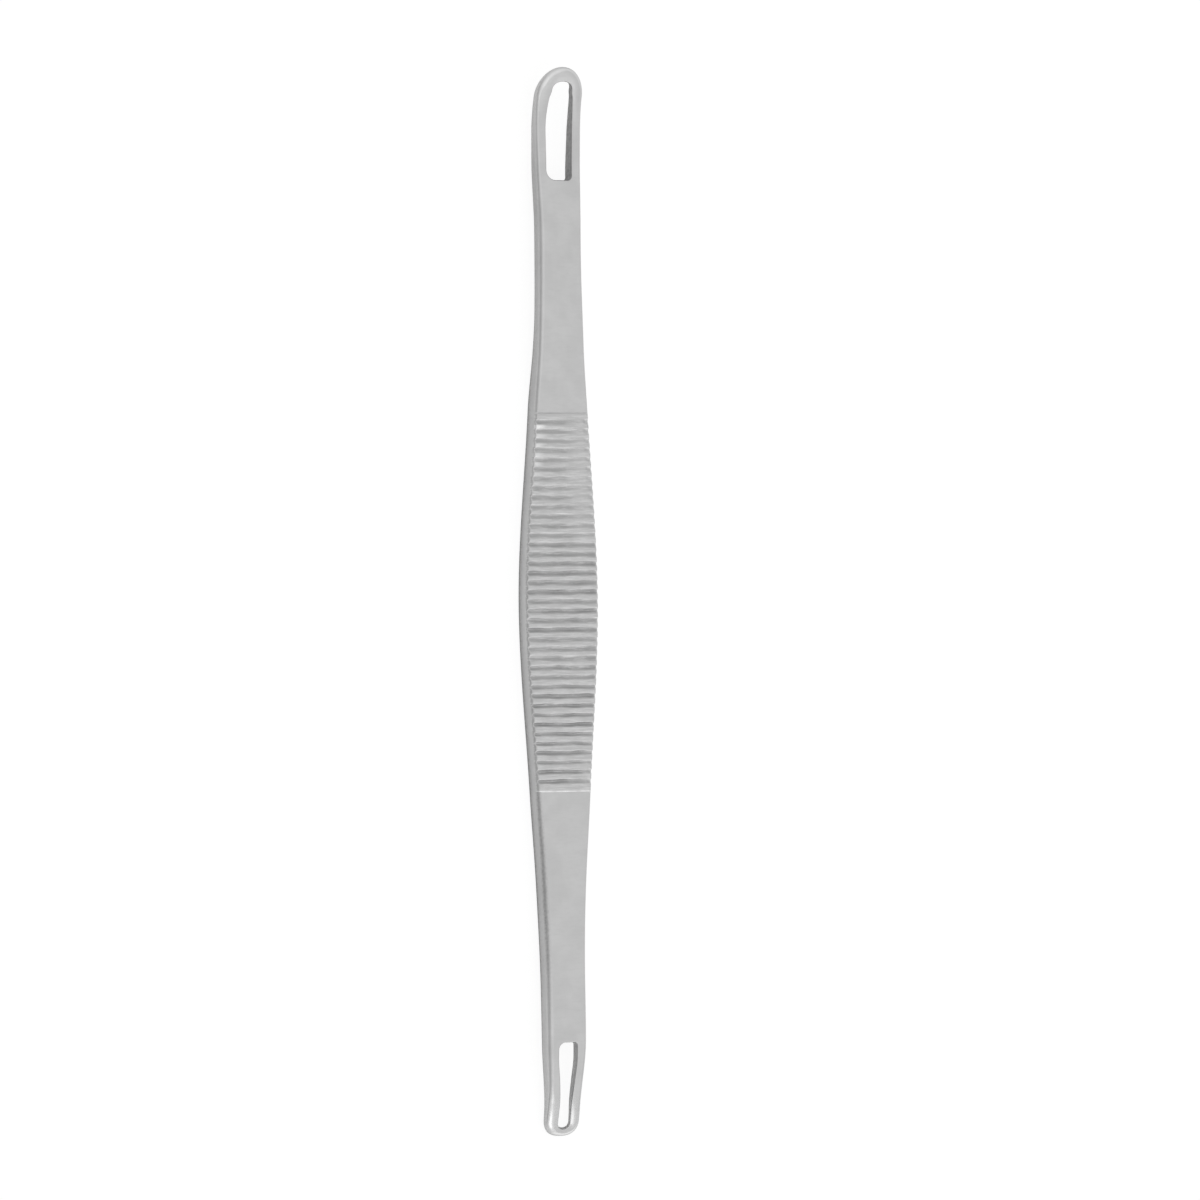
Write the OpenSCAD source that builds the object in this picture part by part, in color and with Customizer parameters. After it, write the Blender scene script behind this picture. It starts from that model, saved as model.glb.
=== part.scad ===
// Double-ended comedone extractor: a slim steel bar with a slotted loop at each end.
// It lies on its plain back: X is across, +Y runs to the large loop, +Z is the ridged front.

/* [Overall] */
// Length over both loops
length = 130; // [115:1:150]

/* [Grip] */
// Width at the middle of the grip
grip_w = 9.9; // [8.5:0.1:12]
// Thickness of the grip, back face to ridge tops
grip_t = 2.6; // [2.4:0.1:3.4]
// Length of the ridged pad
pad_len = 46.2; // [34:0.2:54]
// Width of the pad's end toward the large loop
pad_upper_w = 7.25; // [6.4:0.05:8]
// Width of the pad's end toward the small loop
pad_lower_w = 7.4; // [6.4:0.05:8]
// How far the pad stands proud of the shanks
pad_step = 0.12; // [0.05:0.01:0.3]
// Distance from one groove to the next
groove_pitch = 1.15; // [0.9:0.05:2]
// Width of a groove at the ridge tops
groove_w = 0.64; // [0.4:0.02:0.8]
// Width of a groove's floor
groove_floor_w = 0.26; // [0.1:0.02:0.38]
// Depth of a groove
groove_d = 0.34; // [0.15:0.01:0.6]
// Pad's end to the middle of the first groove
end_strip = 1.2; // [0.8:0.05:3]

/* [Shanks] */
// Narrowest width of the upper shank
upper_neck_w = 5.6; // [4.8:0.1:6.2]
// Width of the upper shank where it flares to the grip
upper_flare_w = 6.2; // [5.6:0.05:7]
// Thickness of the upper shank
upper_shank_t = 2.05; // [1.7:0.05:2.3]
// Narrowest width of the lower shank
lower_neck_w = 5.3; // [4.6:0.05:6]
// Width of the lower shank where it flares to the grip
lower_flare_w = 6.05; // [5.6:0.05:7]
// Thickness of the lower shank
lower_shank_t = 2.3; // [2.1:0.05:2.45]
// How far the front rises along the upper shank
upper_lift = 0.3; // [0:0.05:0.6]
// Solid metal between each shank and the slot beside it
bridge = 1.6; // [1:0.1:3]

/* [Large loop] */
// Width of the large loop
large_loop_w = 6.3; // [5.8:0.05:7.5]
// Length of the large loop's rounded end
large_round_len = 3.5; // [3:0.1:4.4]
// Length of the large slot
large_slot_len = 12.2; // [9:0.1:14]
// Width of the large slot at its inner end
large_slot_in_w = 3.4; // [2.6:0.1:3.8]
// Width of the large slot at its outer end
large_slot_out_w = 3.5; // [2.6:0.1:4]
// Length of the large slot's rounded end
large_slot_round = 2.8; // [1.5:0.1:4]
// Metal left at the tip of the large loop
large_tip_rim = 1.8; // [1:0.1:2.4]
// Thickness of the large loop at the slot's inner end
large_slot_t = 1.95; // [1.5:0.05:2.2]
// Thickness of the large loop where its rounded end begins
large_round_t = 1.2; // [1:0.05:1.8]
// Thickness of the large loop's tip
large_tip_t = 0.9; // [0.7:0.05:1.4]
// How far the large loop's tip curls toward the front
large_curl = 1.8; // [0:0.1:2.5]
// Length over which the large loop curls
large_curl_len = 8; // [5:0.5:12]

/* [Small loop] */
// Width of the small loop near its tip
small_loop_w = 4.6; // [4.4:0.05:5.6]
// Width of the small loop just inboard of its rounded end
small_waist_w = 4.5; // [4.2:0.05:5.6]
// Length of the small loop's rounded end
small_round_len = 2; // [1.6:0.1:2.4]
// Length of the small slot
small_slot_len = 10.6; // [8:0.1:12]
// Width of the small slot at its inner end
small_slot_in_w = 2.5; // [1.8:0.1:2.8]
// Width of the small slot at its outer end
small_slot_out_w = 1.7; // [1.3:0.05:2]
// Length of the small slot's rounded end
small_slot_round = 1; // [0.6:0.1:2]
// Metal left at the tip of the small loop
small_tip_rim = 0.85; // [0.7:0.05:1.3]
// Thickness of the small loop at the slot's inner end
small_slot_t = 2.15; // [1.8:0.05:2.4]
// Thickness of the small loop halfway along its slot
small_mid_t = 1.85; // [1.5:0.05:2.3]
// Thickness of the small loop where its rounded end begins
small_round_t = 1.15; // [1:0.05:1.6]
// Thickness of the small loop's tip
small_tip_t = 0.9; // [0.8:0.05:1.2]
// How far the front rises on the way to the small loop
small_lift = 0.35; // [0:0.05:0.8]
// How far the small loop's tip then curls toward the back
small_curl = 1.7; // [0.4:0.1:2]
// Length over which the small loop curls
small_curl_len = 12; // [9:0.5:14]
// Width of the hollow round the small slot's back edge
dish_w = 0.7; // [0.2:0.05:0.9]
// Depth of the hollow round the small slot's back edge
dish_d = 1.1; // [0.2:0.05:1.2]

/* [Edges] */
// Radius of the front edges
front_edge_r = 0.45; // [0.15:0.05:0.7]
// Radius of the loops' front edges
loop_edge_r = 0.6; // [0.15:0.05:0.7]
// Radius of the back edges
back_edge_r = 0.5; // [0.15:0.05:0.7]
// Radius of the ridged pad's front edges
pad_edge_r = 0.3; // [0.15:0.05:0.5]
// Radius of the slots' front edges
slot_edge_r = 0.16; // [0.05:0.01:0.2]
// Radius of the large slot's back edge
slot_back_r = 0.24; // [0.05:0.01:0.3]
// Radius of each slot's inner corners, as a share of its half width
slot_corner = 0.62; // [0.3:0.01:0.95]

/* [Hidden] */
steel = [0.74, 0.75, 0.76];

// Facets of a rounded edge, of a slot's edge, and of each stretch of a loop's outline
edge_steps = 4;
slot_edge_steps = 2;
base_steps = 5;
side_steps = 9;
tip_steps = 24;
// Greatest distance between two cross-sections of a bar
bar_step = 2;
// Extra reach of a cutter past what it cuts
over = 1;
// Least flat left between the rounded edges of a loop's rim
min_flat = 0.15;

// Most that a wide and a narrow rounded edge take of the thickness
wide_share = 0.5;
narrow_share = 0.2;

// Places along Y, from the tips inward
large_tip = length / 2;
large_slot_out = large_tip - large_tip_rim;
large_slot_in = large_slot_out - large_slot_len;
large_joint = large_slot_in - bridge;
large_round = large_tip - large_round_len;
large_curl_start = large_tip - large_curl_len;
small_tip = -length / 2;
small_slot_out = small_tip + small_tip_rim;
small_slot_in = small_slot_out + small_slot_len;
small_slot_mid = (small_slot_out + small_slot_in) / 2;
small_joint = small_slot_in + bridge;
small_round = small_tip + small_round_len;
small_waist = small_round + 2;
small_curl_start = small_tip + small_curl_len;
pad_end = pad_len / 2;

// Where each shank flares, where it is narrowest and where it reaches its own thickness
upper_flare = pad_end + 8;
upper_taper = pad_end + 13;
upper_neck = large_joint - 5.5;
lower_flare = -pad_end - 12;
lower_taper = small_joint + 6;
lower_neck = small_joint + 5;

// Height of the shanks' plain front; it rises along the upper shank and drops again over
// the blend into the large loop, and the lower shank's flare is where it starts to rise
front_z = grip_t - pad_step;
upper_lift_len = 12;
blend_len = 8;
groove_count = floor((pad_len - 2 * end_strip) / groove_pitch) + 1;

// Width and thickness of the bar at a few places: [Y, size]
widths = [
    [small_tip, small_loop_w],
    [small_round, small_loop_w],
    [small_waist, small_waist_w],
    [small_slot_in, lower_neck_w],
    [lower_neck, lower_neck_w],
    [lower_flare, lower_flare_w],
    [-pad_end, pad_lower_w],
    [0, grip_w],
    [pad_end, pad_upper_w],
    [upper_flare, upper_flare_w],
    [upper_neck, upper_neck_w],
    [large_round, large_loop_w],
    [large_tip, large_loop_w]
];
thicknesses = [
    [small_tip, small_tip_t],
    [small_round, small_round_t],
    [small_slot_mid, small_mid_t],
    [small_slot_in, small_slot_t],
    [lower_taper, lower_shank_t],
    [-pad_end, front_z],
    [pad_end, front_z],
    [upper_taper, upper_shank_t],
    [large_slot_in, large_slot_t],
    [large_round, large_round_t],
    [large_tip, large_tip_t]
];

// Smooth curve through a table of [place, value] rows, level at both ends
function last_at_or_before(table, y) =
    max([for (i = [0 : len(table) - 2]) if (i == 0 || y >= table[i][0]) i]);
function slope_between(table, i, j) = (table[j][1] - table[i][1]) / (table[j][0] - table[i][0]);
function slope(table, i) =
    i == 0 || i == len(table) - 1 ? 0 :
    slope_between(table, i - 1, i) * slope_between(table, i, i + 1) <= 0 ? 0 :
    slope_between(table, i - 1, i + 1);
function along(table, y) =
    let (
        i = last_at_or_before(table, y),
        span = table[i + 1][0] - table[i][0],
        u = (y - table[i][0]) / span,
        rise_in = slope(table, i) * span,
        rise_out = slope(table, i + 1) * span
    )
    table[i][1] * (1 + 2 * u) * pow(1 - u, 2) + rise_in * u * pow(1 - u, 2)
    + table[i + 1][1] * (3 - 2 * u) * pow(u, 2) - rise_out * (1 - u) * pow(u, 2);
function ease(u) = let (c = min(max(u, 0), 1)) c * c * (3 - 2 * c);
function bend(u) = pow(max(u, 0), 2);

// Front and back heights, half width and edge radii of the plain bar at a place along Y
function front_at(y) =
    front_z
    + upper_lift * ease((y - pad_end) / upper_lift_len)
    - upper_lift * ease((y - large_joint) / blend_len + 0.5)
    + large_curl * bend((y - large_curl_start) / large_curl_len)
    + small_lift * ease((lower_flare - y) / (lower_flare - small_curl_start))
    - small_curl * bend((small_curl_start - y) / small_curl_len);
function thickness_at(y) = along(thicknesses, y);
function back_at(y) = front_at(y) - thickness_at(y);
function half_at(y) = along(widths, y) / 2;
function loop_share(y) =
    ease((y - large_joint) / blend_len + 0.5) + ease((small_joint - y) / blend_len + 0.5);
function front_r_at(y) =
    min(front_edge_r + (loop_edge_r - front_edge_r) * loop_share(y), thickness_at(y) * wide_share);
function back_r_at(y) = min(back_edge_r, thickness_at(y) * narrow_share);

// One rounded corner of a cross-section, as [x, z] points
function corner(x, z, r, from) =
    [for (i = [0 : edge_steps]) let (a = from + 90 * i / edge_steps) [x + r * cos(a), z + r * sin(a)]];

// Closed cross-section of the bar, raised at the front by the pad
function section(y, raised, front_r) =
    let (
        h = half_at(y),
        top = front_at(y) + raised,
        low = back_at(y),
        back_r = back_r_at(y)
    )
    [for (p = concat(
        corner(h - front_r, top - front_r, front_r, 0),
        corner(front_r - h, top - front_r, front_r, 90),
        corner(back_r - h, low + back_r, back_r, 180),
        corner(h - back_r, low + back_r, back_r, 270)
    )) [p[0], y, p[1]]];

// Triangles that join closed rings of n points; wrap joins the last ring to the first
function ring_faces(rings, n, wrap) =
    [for (j = [0 : rings - (wrap ? 1 : 2)], i = [0 : n - 1])
        let (
            a = j * n + i,
            b = j * n + (i + 1) % n,
            c = ((j + 1) % rings) * n + (i + 1) % n,
            d = ((j + 1) % rings) * n + i
        )
        each [[a, b, c], [a, c, d]]];

// Solid bar between two places along Y; edge gives the front edges' radius at each place
module bar(y0, y1, raised, edge) {
    steps = ceil((y1 - y0) / bar_step);
    rings = [for (k = [0 : steps]) let (y = y0 + (y1 - y0) * k / steps)
        section(y, raised, edge(y))];
    n = len(rings[0]);
    start_cap = [for (i = [n - 1 : -1 : 0]) i];
    end_cap = [for (i = [0 : n - 1]) steps * n + i];
    polyhedron(
        points = [for (ring = rings) each ring],
        faces = concat([start_cap], ring_faces(steps + 1, n, false), [end_cap])
    );
}

// Plan outline of a loop as [x, y, inward x, inward y], from the middle of its base round
// the tip and back; out is +1 for the large loop and -1 for the small one
function half_outline(out, joint, round_y, tip) =
    concat(
        [for (i = [0 : base_steps - 1]) [half_at(joint) * i / base_steps, joint, 0, 0]],
        [for (i = [0 : side_steps - 1]) let (y = joint + (round_y - joint) * i / side_steps)
            [half_at(y), y, -1, 0]],
        [for (i = [0 : tip_steps / 2]) let (a = 180 * i / tip_steps)
            [half_at(round_y) * cos(a), round_y + (tip - round_y) * sin(a), -cos(a), -out * sin(a)]]
    );
function half_slot(out, slot_in, slot_out, in_w, out_w, round_len) =
    let (
        r_in = in_w / 2 * slot_corner,
        flat_x = in_w / 2 - r_in,
        low_y = slot_in + out * r_in,
        high_y = slot_out - out * round_len
    )
    concat(
        [[0, slot_in, 0, -out]],
        [for (i = [0 : base_steps - 2]) let (a = 90 * i / (base_steps - 1))
            [flat_x + r_in * sin(a), low_y - out * r_in * cos(a), sin(a), -out * cos(a)]],
        [for (i = [0 : side_steps - 1]) let (u = i / side_steps)
            [in_w / 2 + (out_w - in_w) / 2 * u, low_y + (high_y - low_y) * u, 1, 0]],
        [for (i = [0 : tip_steps / 2]) let (a = 180 * i / tip_steps)
            [out_w / 2 * cos(a), high_y + out * round_len * sin(a), cos(a), out * sin(a)]]
    );
function mirrored(half) =
    concat(half, [for (i = [len(half) - 2 : -1 : 1]) [-half[i][0], half[i][1], -half[i][2], half[i][3]]]);

// A ring of points that follows an outline: inset moves it into the metal and drop moves
// it away from the face, as shares of the edge's size, which is [width, depth] at each place
function rim_ring(outline, face, inset, drop, size) =
    [for (p = outline)
        let (
            s = size(p[1]),
            x = p[0] + p[2] * inset * s[0],
            y = p[1] + p[3] * inset * s[0]
        )
        [x, y, face > 0 ? front_at(y) - drop * s[1] : back_at(y) + drop * s[1]]];
function rim_edge(outline, face, size, steps, inward) =
    [for (i = [0 : steps]) let (a = 90 * (inward ? i : steps - i) / steps)
        rim_ring(outline, face, 1 - cos(a), 1 - sin(a), size)];

// A slotted loop: the rounded edges of its outline and of its slot, joined into one skin
module loop(out, joint, round_y, tip, slot_in, slot_out, in_w, out_w, slot_round, hollow_w, hollow_d) {
    rim = mirrored(half_outline(out, joint, round_y, tip));
    slot = mirrored(half_slot(out, slot_in, slot_out, in_w, out_w, slot_round));
    narrowest = min([for (i = [base_steps : base_steps + side_steps]) rim[i][0] - slot[i][0]]);
    most = narrowest - back_r_at(slot_in) - min_flat;
    front_edge = function (y) [front_r_at(y), front_r_at(y)];
    slot_edge = function (y) [slot_edge_r, min(slot_edge_r, thickness_at(y) * narrow_share)];
    hollow = function (y) [min(hollow_w, most), min(hollow_d, thickness_at(y) * wide_share)];
    back_edge = function (y) [back_r_at(y), back_r_at(y)];
    skin = concat(
        rim_edge(rim, 1, front_edge, edge_steps, true),
        rim_edge(slot, 1, slot_edge, slot_edge_steps, false),
        rim_edge(slot, -1, hollow, edge_steps, true),
        rim_edge(rim, -1, back_edge, edge_steps, false)
    );
    n = len(rim);
    faces = ring_faces(len(skin), n, true);
    polyhedron(
        points = [for (ring = skin) each ring],
        faces = out < 0 ? faces : [for (f = faces) [f[0], f[2], f[1]]]
    );
}

module large_loop() {
    color(steel)
    loop(1, large_joint, large_round, large_tip, large_slot_in, large_slot_out,
        large_slot_in_w, large_slot_out_w, large_slot_round, slot_back_r, slot_back_r);
}

module upper_shank() {
    color(steel)
    bar(pad_end, large_joint, 0, function (y) front_r_at(y));
}

// Groove with sloping walls, cut straight across the pad
module groove(y) {
    translate([-grip_w / 2 - over, y, grip_t])
    rotate([90, 0, 90])
    linear_extrude(grip_w + 2 * over)
    polygon([
        [-groove_floor_w / 2, -groove_d],
        [groove_floor_w / 2, -groove_d],
        [groove_w / 2, 0],
        [groove_w / 2, over],
        [-groove_w / 2, over],
        [-groove_w / 2, 0]
    ]);
}

module grip() {
    color(steel)
    difference() {
        bar(-pad_end, pad_end, pad_step, function (y) pad_edge_r);
        for (i = [0 : groove_count - 1])
            groove((i - (groove_count - 1) / 2) * groove_pitch);
    }
}

module lower_shank() {
    color(steel)
    bar(small_joint, -pad_end, 0, function (y) front_r_at(y));
}

module small_loop() {
    color(steel)
    loop(-1, small_joint, small_round, small_tip, small_slot_in, small_slot_out,
        small_slot_in_w, small_slot_out_w, small_slot_round, dish_w, dish_d);
}

large_loop();
upper_shank();
grip();
lower_shank();
small_loop();
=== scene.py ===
# A double-ended blackhead extractor in satin steel, lying on a pale floor.
# The tool lies on its plain back: X is across, +Y runs to the large loop, +Z is the ridged front.
import math
import random

import bmesh
import bpy
from mathutils import Matrix, Vector


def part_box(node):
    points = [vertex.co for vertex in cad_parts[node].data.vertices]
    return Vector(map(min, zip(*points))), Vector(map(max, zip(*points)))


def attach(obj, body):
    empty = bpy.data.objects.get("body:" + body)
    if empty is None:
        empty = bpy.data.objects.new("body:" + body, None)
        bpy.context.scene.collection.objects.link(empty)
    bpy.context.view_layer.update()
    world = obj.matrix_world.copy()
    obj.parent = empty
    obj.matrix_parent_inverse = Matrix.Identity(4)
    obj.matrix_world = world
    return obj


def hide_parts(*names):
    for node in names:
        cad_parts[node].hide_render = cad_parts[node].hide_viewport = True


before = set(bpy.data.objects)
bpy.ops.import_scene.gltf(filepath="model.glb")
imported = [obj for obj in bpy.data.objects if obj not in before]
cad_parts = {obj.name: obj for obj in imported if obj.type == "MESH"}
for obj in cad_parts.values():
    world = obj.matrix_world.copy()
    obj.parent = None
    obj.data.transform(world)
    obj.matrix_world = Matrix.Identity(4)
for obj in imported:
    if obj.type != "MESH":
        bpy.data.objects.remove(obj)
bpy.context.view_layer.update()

MM = 0.001

# Places along Y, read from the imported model
LARGE_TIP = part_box("large_loop")[1].y
LARGE_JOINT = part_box("large_loop")[0].y
SMALL_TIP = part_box("small_loop")[0].y
SMALL_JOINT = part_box("small_loop")[1].y
PAD_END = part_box("grip")[1].y
GRIP_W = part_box("grip")[1].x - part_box("grip")[0].x
GRIP_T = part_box("grip")[1].z
PAD_UPPER_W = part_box("upper_shank")[1].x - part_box("upper_shank")[0].x
PAD_LOWER_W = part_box("lower_shank")[1].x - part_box("lower_shank")[0].x

# Ridged pad
PAD_STEP = 0.12 * MM
PAD_EDGE_R = 0.42 * MM
LOWER_STEP_ROUND = 0.42 * MM
UPPER_STEP_ROUND = 0.26 * MM
GROOVE_PITCH = 1.15 * MM
GROOVE_W = 0.92 * MM
GROOVE_D = 0.22 * MM
GROOVE_SKEW = 0.72
END_STRIP = 1.2 * MM
GROOVE_MOUTH_R = 0.16 * MM
GROOVE_RIGHT_R = 0.34 * MM
NOTCH = 0.9
GROOVE_WAVE = 0.045 * MM
LONG_WAVE = 6.5 * MM
LONG_WAVE_SHARE = 0.6
SHORT_WAVE = 2.6 * MM
SHORT_WAVE_SHARE = 0.4
WIDTH_CHANCE = 0.07
WIDTH_RIPPLE = 0.06
WIDTH_WAVE = 4 * MM
DEPTH_CHANCE = 0.12
DEPTH_RIPPLE = 0.1
DEPTH_WAVE = 5 * MM

# Where the grooves get narrower or die out, from the middle of the pad and over what length
LOWER_NARROW = 0.25
LOWER_NARROW_START = 6 * MM
LOWER_NARROW_LEN = 8 * MM
UPPER_FADE = 0.25
UPPER_FADE_START = 4 * MM
UPPER_FADE_LEN = 12 * MM
UPPER_RIGHT_FADE = 0.8
UPPER_RIGHT_START = -0.2 * MM
UPPER_RIGHT_LEN = 3 * MM
LOWER_FADE_START = 15 * MM
LOWER_FADE_LEN = 6 * MM
LOWER_RIGHT_FADE = 0.85
LOWER_RIGHT_START = 1.6 * MM
LOWER_RIGHT_LEN = 2.4 * MM
NOTCH_START = 1.1 * MM
NOTCH_LEN = 0.7 * MM

# How bright the crests are rubbed, and the painted highlights at the upper crests' left ends and along the
# step at the pad's lower end
CREST_NARROWNESS = 5
CREST_WEAR = 0.04
LEFT_HIGHLIGHT_START = 1.8 * MM
LEFT_HIGHLIGHT_LEN = 1.4 * MM
UPPER_HIGHLIGHT_START = 12 * MM
UPPER_HIGHLIGHT_LEN = 6 * MM
OTHER_CREST_HIGHLIGHT = 0.5
LOWER_STEP_HIGHLIGHT = 0.72
STREAK_LEVEL = 0.66
LONG_STREAK = 0.2
LONG_STREAK_WAVE = 2.9 * MM
LONG_STREAK_SHIFT = 0.4
SHORT_STREAK = 0.14
SHORT_STREAK_WAVE = 1.1 * MM
SHORT_STREAK_SHIFT = 0.1

# Shanks
UPPER_NECK_W = 5.7 * MM
UPPER_FLARE_W = 6.2 * MM
UPPER_SHANK_T = 1.75 * MM
LOWER_NECK_W = 5.23 * MM
LOWER_FLARE_W = 5.87 * MM
LOWER_SHANK_T = 2.3 * MM
UPPER_LIFT = 0.3 * MM
BRIDGE = 1.6 * MM

# Large loop
LARGE_LOOP_W = 6.3 * MM
LARGE_ROUND_LEN = 3.5 * MM
LARGE_SLOT_LEN = 11.95 * MM
LARGE_SLOT_IN_W = 3.4 * MM
LARGE_SLOT_MID_W = 3.54 * MM
LARGE_SLOT_NEAR_W = 3.14 * MM
LARGE_SLOT_OUT_W = 2.66 * MM
LARGE_SLOT_MID = 5.2 * MM
LARGE_SLOT_NEAR = 2.1 * MM
LARGE_SLOT_ROUND = 1.05 * MM
LARGE_SLOT_ASIDE = 0.2 * MM
LARGE_TIP_RIM = 1.75 * MM
LARGE_MID_T = 1.5 * MM
LARGE_SLOT_T = 1.8 * MM
LARGE_ROUND_T = 1.2 * MM
LARGE_TIP_T = 0.9 * MM
LARGE_CURL = 1.8 * MM
LARGE_CURL_LEN = 8 * MM

# Small loop
SMALL_LOOP_W = 4.53 * MM
SMALL_WAIST_W = 4.45 * MM
SMALL_ROUND_LEN = 2 * MM
SMALL_WAIST_LEN = 2 * MM
SMALL_SLOT_LEN = 10.6 * MM
SMALL_SLOT_IN_W = 2.48 * MM
SMALL_SLOT_MID_W = 1.95 * MM
SMALL_SLOT_NEAR_W = 1.56 * MM
SMALL_SLOT_OUT_W = 1.64 * MM
SMALL_SLOT_TAPER = 8.8 * MM
SMALL_SLOT_MID_OUT = 5.9 * MM
SMALL_SLOT_NEAR = 3 * MM
SMALL_SLOT_ROUND = 0.85 * MM
SMALL_SLOT_ASIDE = 0.1 * MM
SMALL_SLOT_T = 2.15 * MM
SMALL_MID_T = 1.85 * MM
SMALL_ROUND_T = 1.15 * MM
SMALL_TIP_T = 0.9 * MM
SMALL_LIFT = 0.35 * MM
SMALL_CURL = 1.7 * MM
SMALL_CURL_LEN = 12 * MM
DISH_W = 0.7 * MM
DISH_D = 1.1 * MM
DISH_BULGE = 1.8
ROUND_BULGE = 1

# Edges
LOWER_LEFT_R = 0.74 * MM
UPPER_LEFT_R = 0.7 * MM
GRIP_END_LEFT_R = 0.8 * UPPER_LEFT_R
BRIDGE_LEFT_R = 0.5 * MM
LARGE_LEFT_R = 0.38 * MM
LARGE_TIP_LEFT_R = 0.55 * MM
LARGE_LEFT_EXTRA = 0.32 * MM
LARGE_EXTRA_START = 0.8 * MM
LARGE_EXTRA_LEN = 2 * MM
SMALL_LEFT_R = 0.58 * MM
SMALL_TIP_LEFT_R = 0.38 * MM
SMALL_LEFT_EXTRA = 0.9 * MM
SMALL_EXTRA_LEN = 3 * MM
RIGHT_EDGE_R = 0.3 * MM
LOOP_RIGHT_R = 0.46 * MM
BACK_EDGE_R = 0.5 * MM
SLOT_EDGE_R = 0.14 * MM
SLOT_BACK_R = 0.15 * MM
SLOT_LEFT_CORNER = 0.74
SLOT_RIGHT_CORNER = 0.3
LARGE_SLOT_SQUARE = 0.95
SMALL_SLOT_SQUARE = 0.85
MIN_FLAT = 0.15 * MM
RIM_FLAT = 0.35 * MM
SLOT_LEAN = 0.8
LARGE_CROWN = 0.1 * MM
SMALL_CROWN = 0.11 * MM
TIP_TURN = 2 * MM
TIP_SQUARE = 0.82
UPPER_BOW = 0.12 * MM
LOWER_BOW = 0.04 * MM
WIDE_SHARE = 0.5
NARROW_SHARE = 0.2

# How bright edges are rubbed, with painted highlights, and how much painted shade the slots' walls get
EDGE_POLISH_AND_HIGHLIGHT = 0.35
LARGE_TIP_HIGHLIGHT = 0.4
SMALL_LOOP_LESS_SHEEN = 0.25
SMALL_TIP_HIGHLIGHT = 0.35
TIP_HIGHLIGHT_LEN = 2 * MM
LOOP_DULL_LEN = 3 * MM
RIM_WEAR_AND_HIGHLIGHT = 1.0
SLOT_WEAR_AND_HIGHLIGHT = 0.8
HOLLOW_WEAR_AND_HIGHLIGHT = 0.4
LARGE_SLOT_PAINTED_SHADE = 1.3
SMALL_SLOT_PAINTED_SHADE = 0.35

# Places that follow from the sizes
LARGE_SLOT_OUT = LARGE_TIP - LARGE_TIP_RIM
LARGE_SLOT_IN = LARGE_SLOT_OUT - LARGE_SLOT_LEN
LARGE_ROUND = LARGE_TIP - LARGE_ROUND_LEN
LARGE_CURL_START = LARGE_TIP - LARGE_CURL_LEN
SMALL_SLOT_IN = SMALL_JOINT - BRIDGE
SMALL_SLOT_OUT = SMALL_SLOT_IN - SMALL_SLOT_LEN
SMALL_SLOT_MID = (SMALL_SLOT_IN + SMALL_SLOT_OUT) / 2
SMALL_ROUND = SMALL_TIP + SMALL_ROUND_LEN
SMALL_WAIST = SMALL_ROUND + SMALL_WAIST_LEN
SMALL_CURL_START = SMALL_TIP + SMALL_CURL_LEN
UPPER_FLARE = PAD_END + 8 * MM
UPPER_TAPER = PAD_END + 13 * MM
UPPER_NECK = LARGE_JOINT - 5.5 * MM
LOWER_FLARE = -PAD_END - 12 * MM
LOWER_TAPER = SMALL_JOINT + 6 * MM
LOWER_NECK = SMALL_JOINT + 5 * MM
FRONT_Z = GRIP_T - PAD_STEP
UPPER_LIFT_LEN = 12 * MM
BLEND_LEN = 8 * MM

# Resolution: facets of each rounded edge, and the longest step along a plain stretch
EDGE_STEPS = 10
FLAT_STEPS = 8
PAD_FLAT_STEPS = 20
GROOVE_STEPS = 14
STEP_STEPS = 8
WALL_STEPS = 4
PLAIN_STEP = 0.5 * MM
BASE_STEPS = 10
SIDE_STEPS = 56
TIP_STEPS = 36
SAME_PLACE = 1e-7

WIDTHS = (
    (SMALL_TIP, SMALL_LOOP_W),
    (SMALL_ROUND, SMALL_LOOP_W),
    (SMALL_WAIST, SMALL_WAIST_W),
    (SMALL_SLOT_IN, LOWER_NECK_W),
    (LOWER_NECK, LOWER_NECK_W),
    (LOWER_FLARE, LOWER_FLARE_W),
    (-PAD_END, PAD_LOWER_W),
    (0.0, GRIP_W),
    (PAD_END, PAD_UPPER_W),
    (UPPER_FLARE, UPPER_FLARE_W),
    (UPPER_NECK, UPPER_NECK_W),
    (LARGE_ROUND, LARGE_LOOP_W),
    (LARGE_TIP, LARGE_LOOP_W),
)
LEFT_RADII = (
    (SMALL_TIP, SMALL_TIP_LEFT_R),
    (SMALL_WAIST, SMALL_TIP_LEFT_R),
    (SMALL_SLOT_MID, SMALL_LEFT_R),
    (SMALL_JOINT, LOWER_LEFT_R),
    (PAD_END, GRIP_END_LEFT_R),
    (UPPER_NECK, UPPER_LEFT_R),
    (LARGE_SLOT_IN, BRIDGE_LEFT_R),
    (LARGE_CURL_START, LARGE_LEFT_R),
    (LARGE_TIP, LARGE_TIP_LEFT_R),
)
RIGHT_RADII = (
    (SMALL_TIP, LOOP_RIGHT_R),
    (SMALL_SLOT_MID, LOOP_RIGHT_R),
    (SMALL_JOINT, RIGHT_EDGE_R),
    (LARGE_JOINT, RIGHT_EDGE_R),
    (LARGE_CURL_START, LOOP_RIGHT_R),
    (LARGE_TIP, LOOP_RIGHT_R),
)
# The tool is not quite straight: how far it bows to the right
BOWS = (
    (SMALL_TIP, 0.0),
    (LOWER_FLARE, LOWER_BOW),
    (0.0, 0.0),
    (PAD_END, UPPER_BOW),
    (UPPER_NECK, 0.0),
    (LARGE_TIP, 0.0),
)
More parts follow.
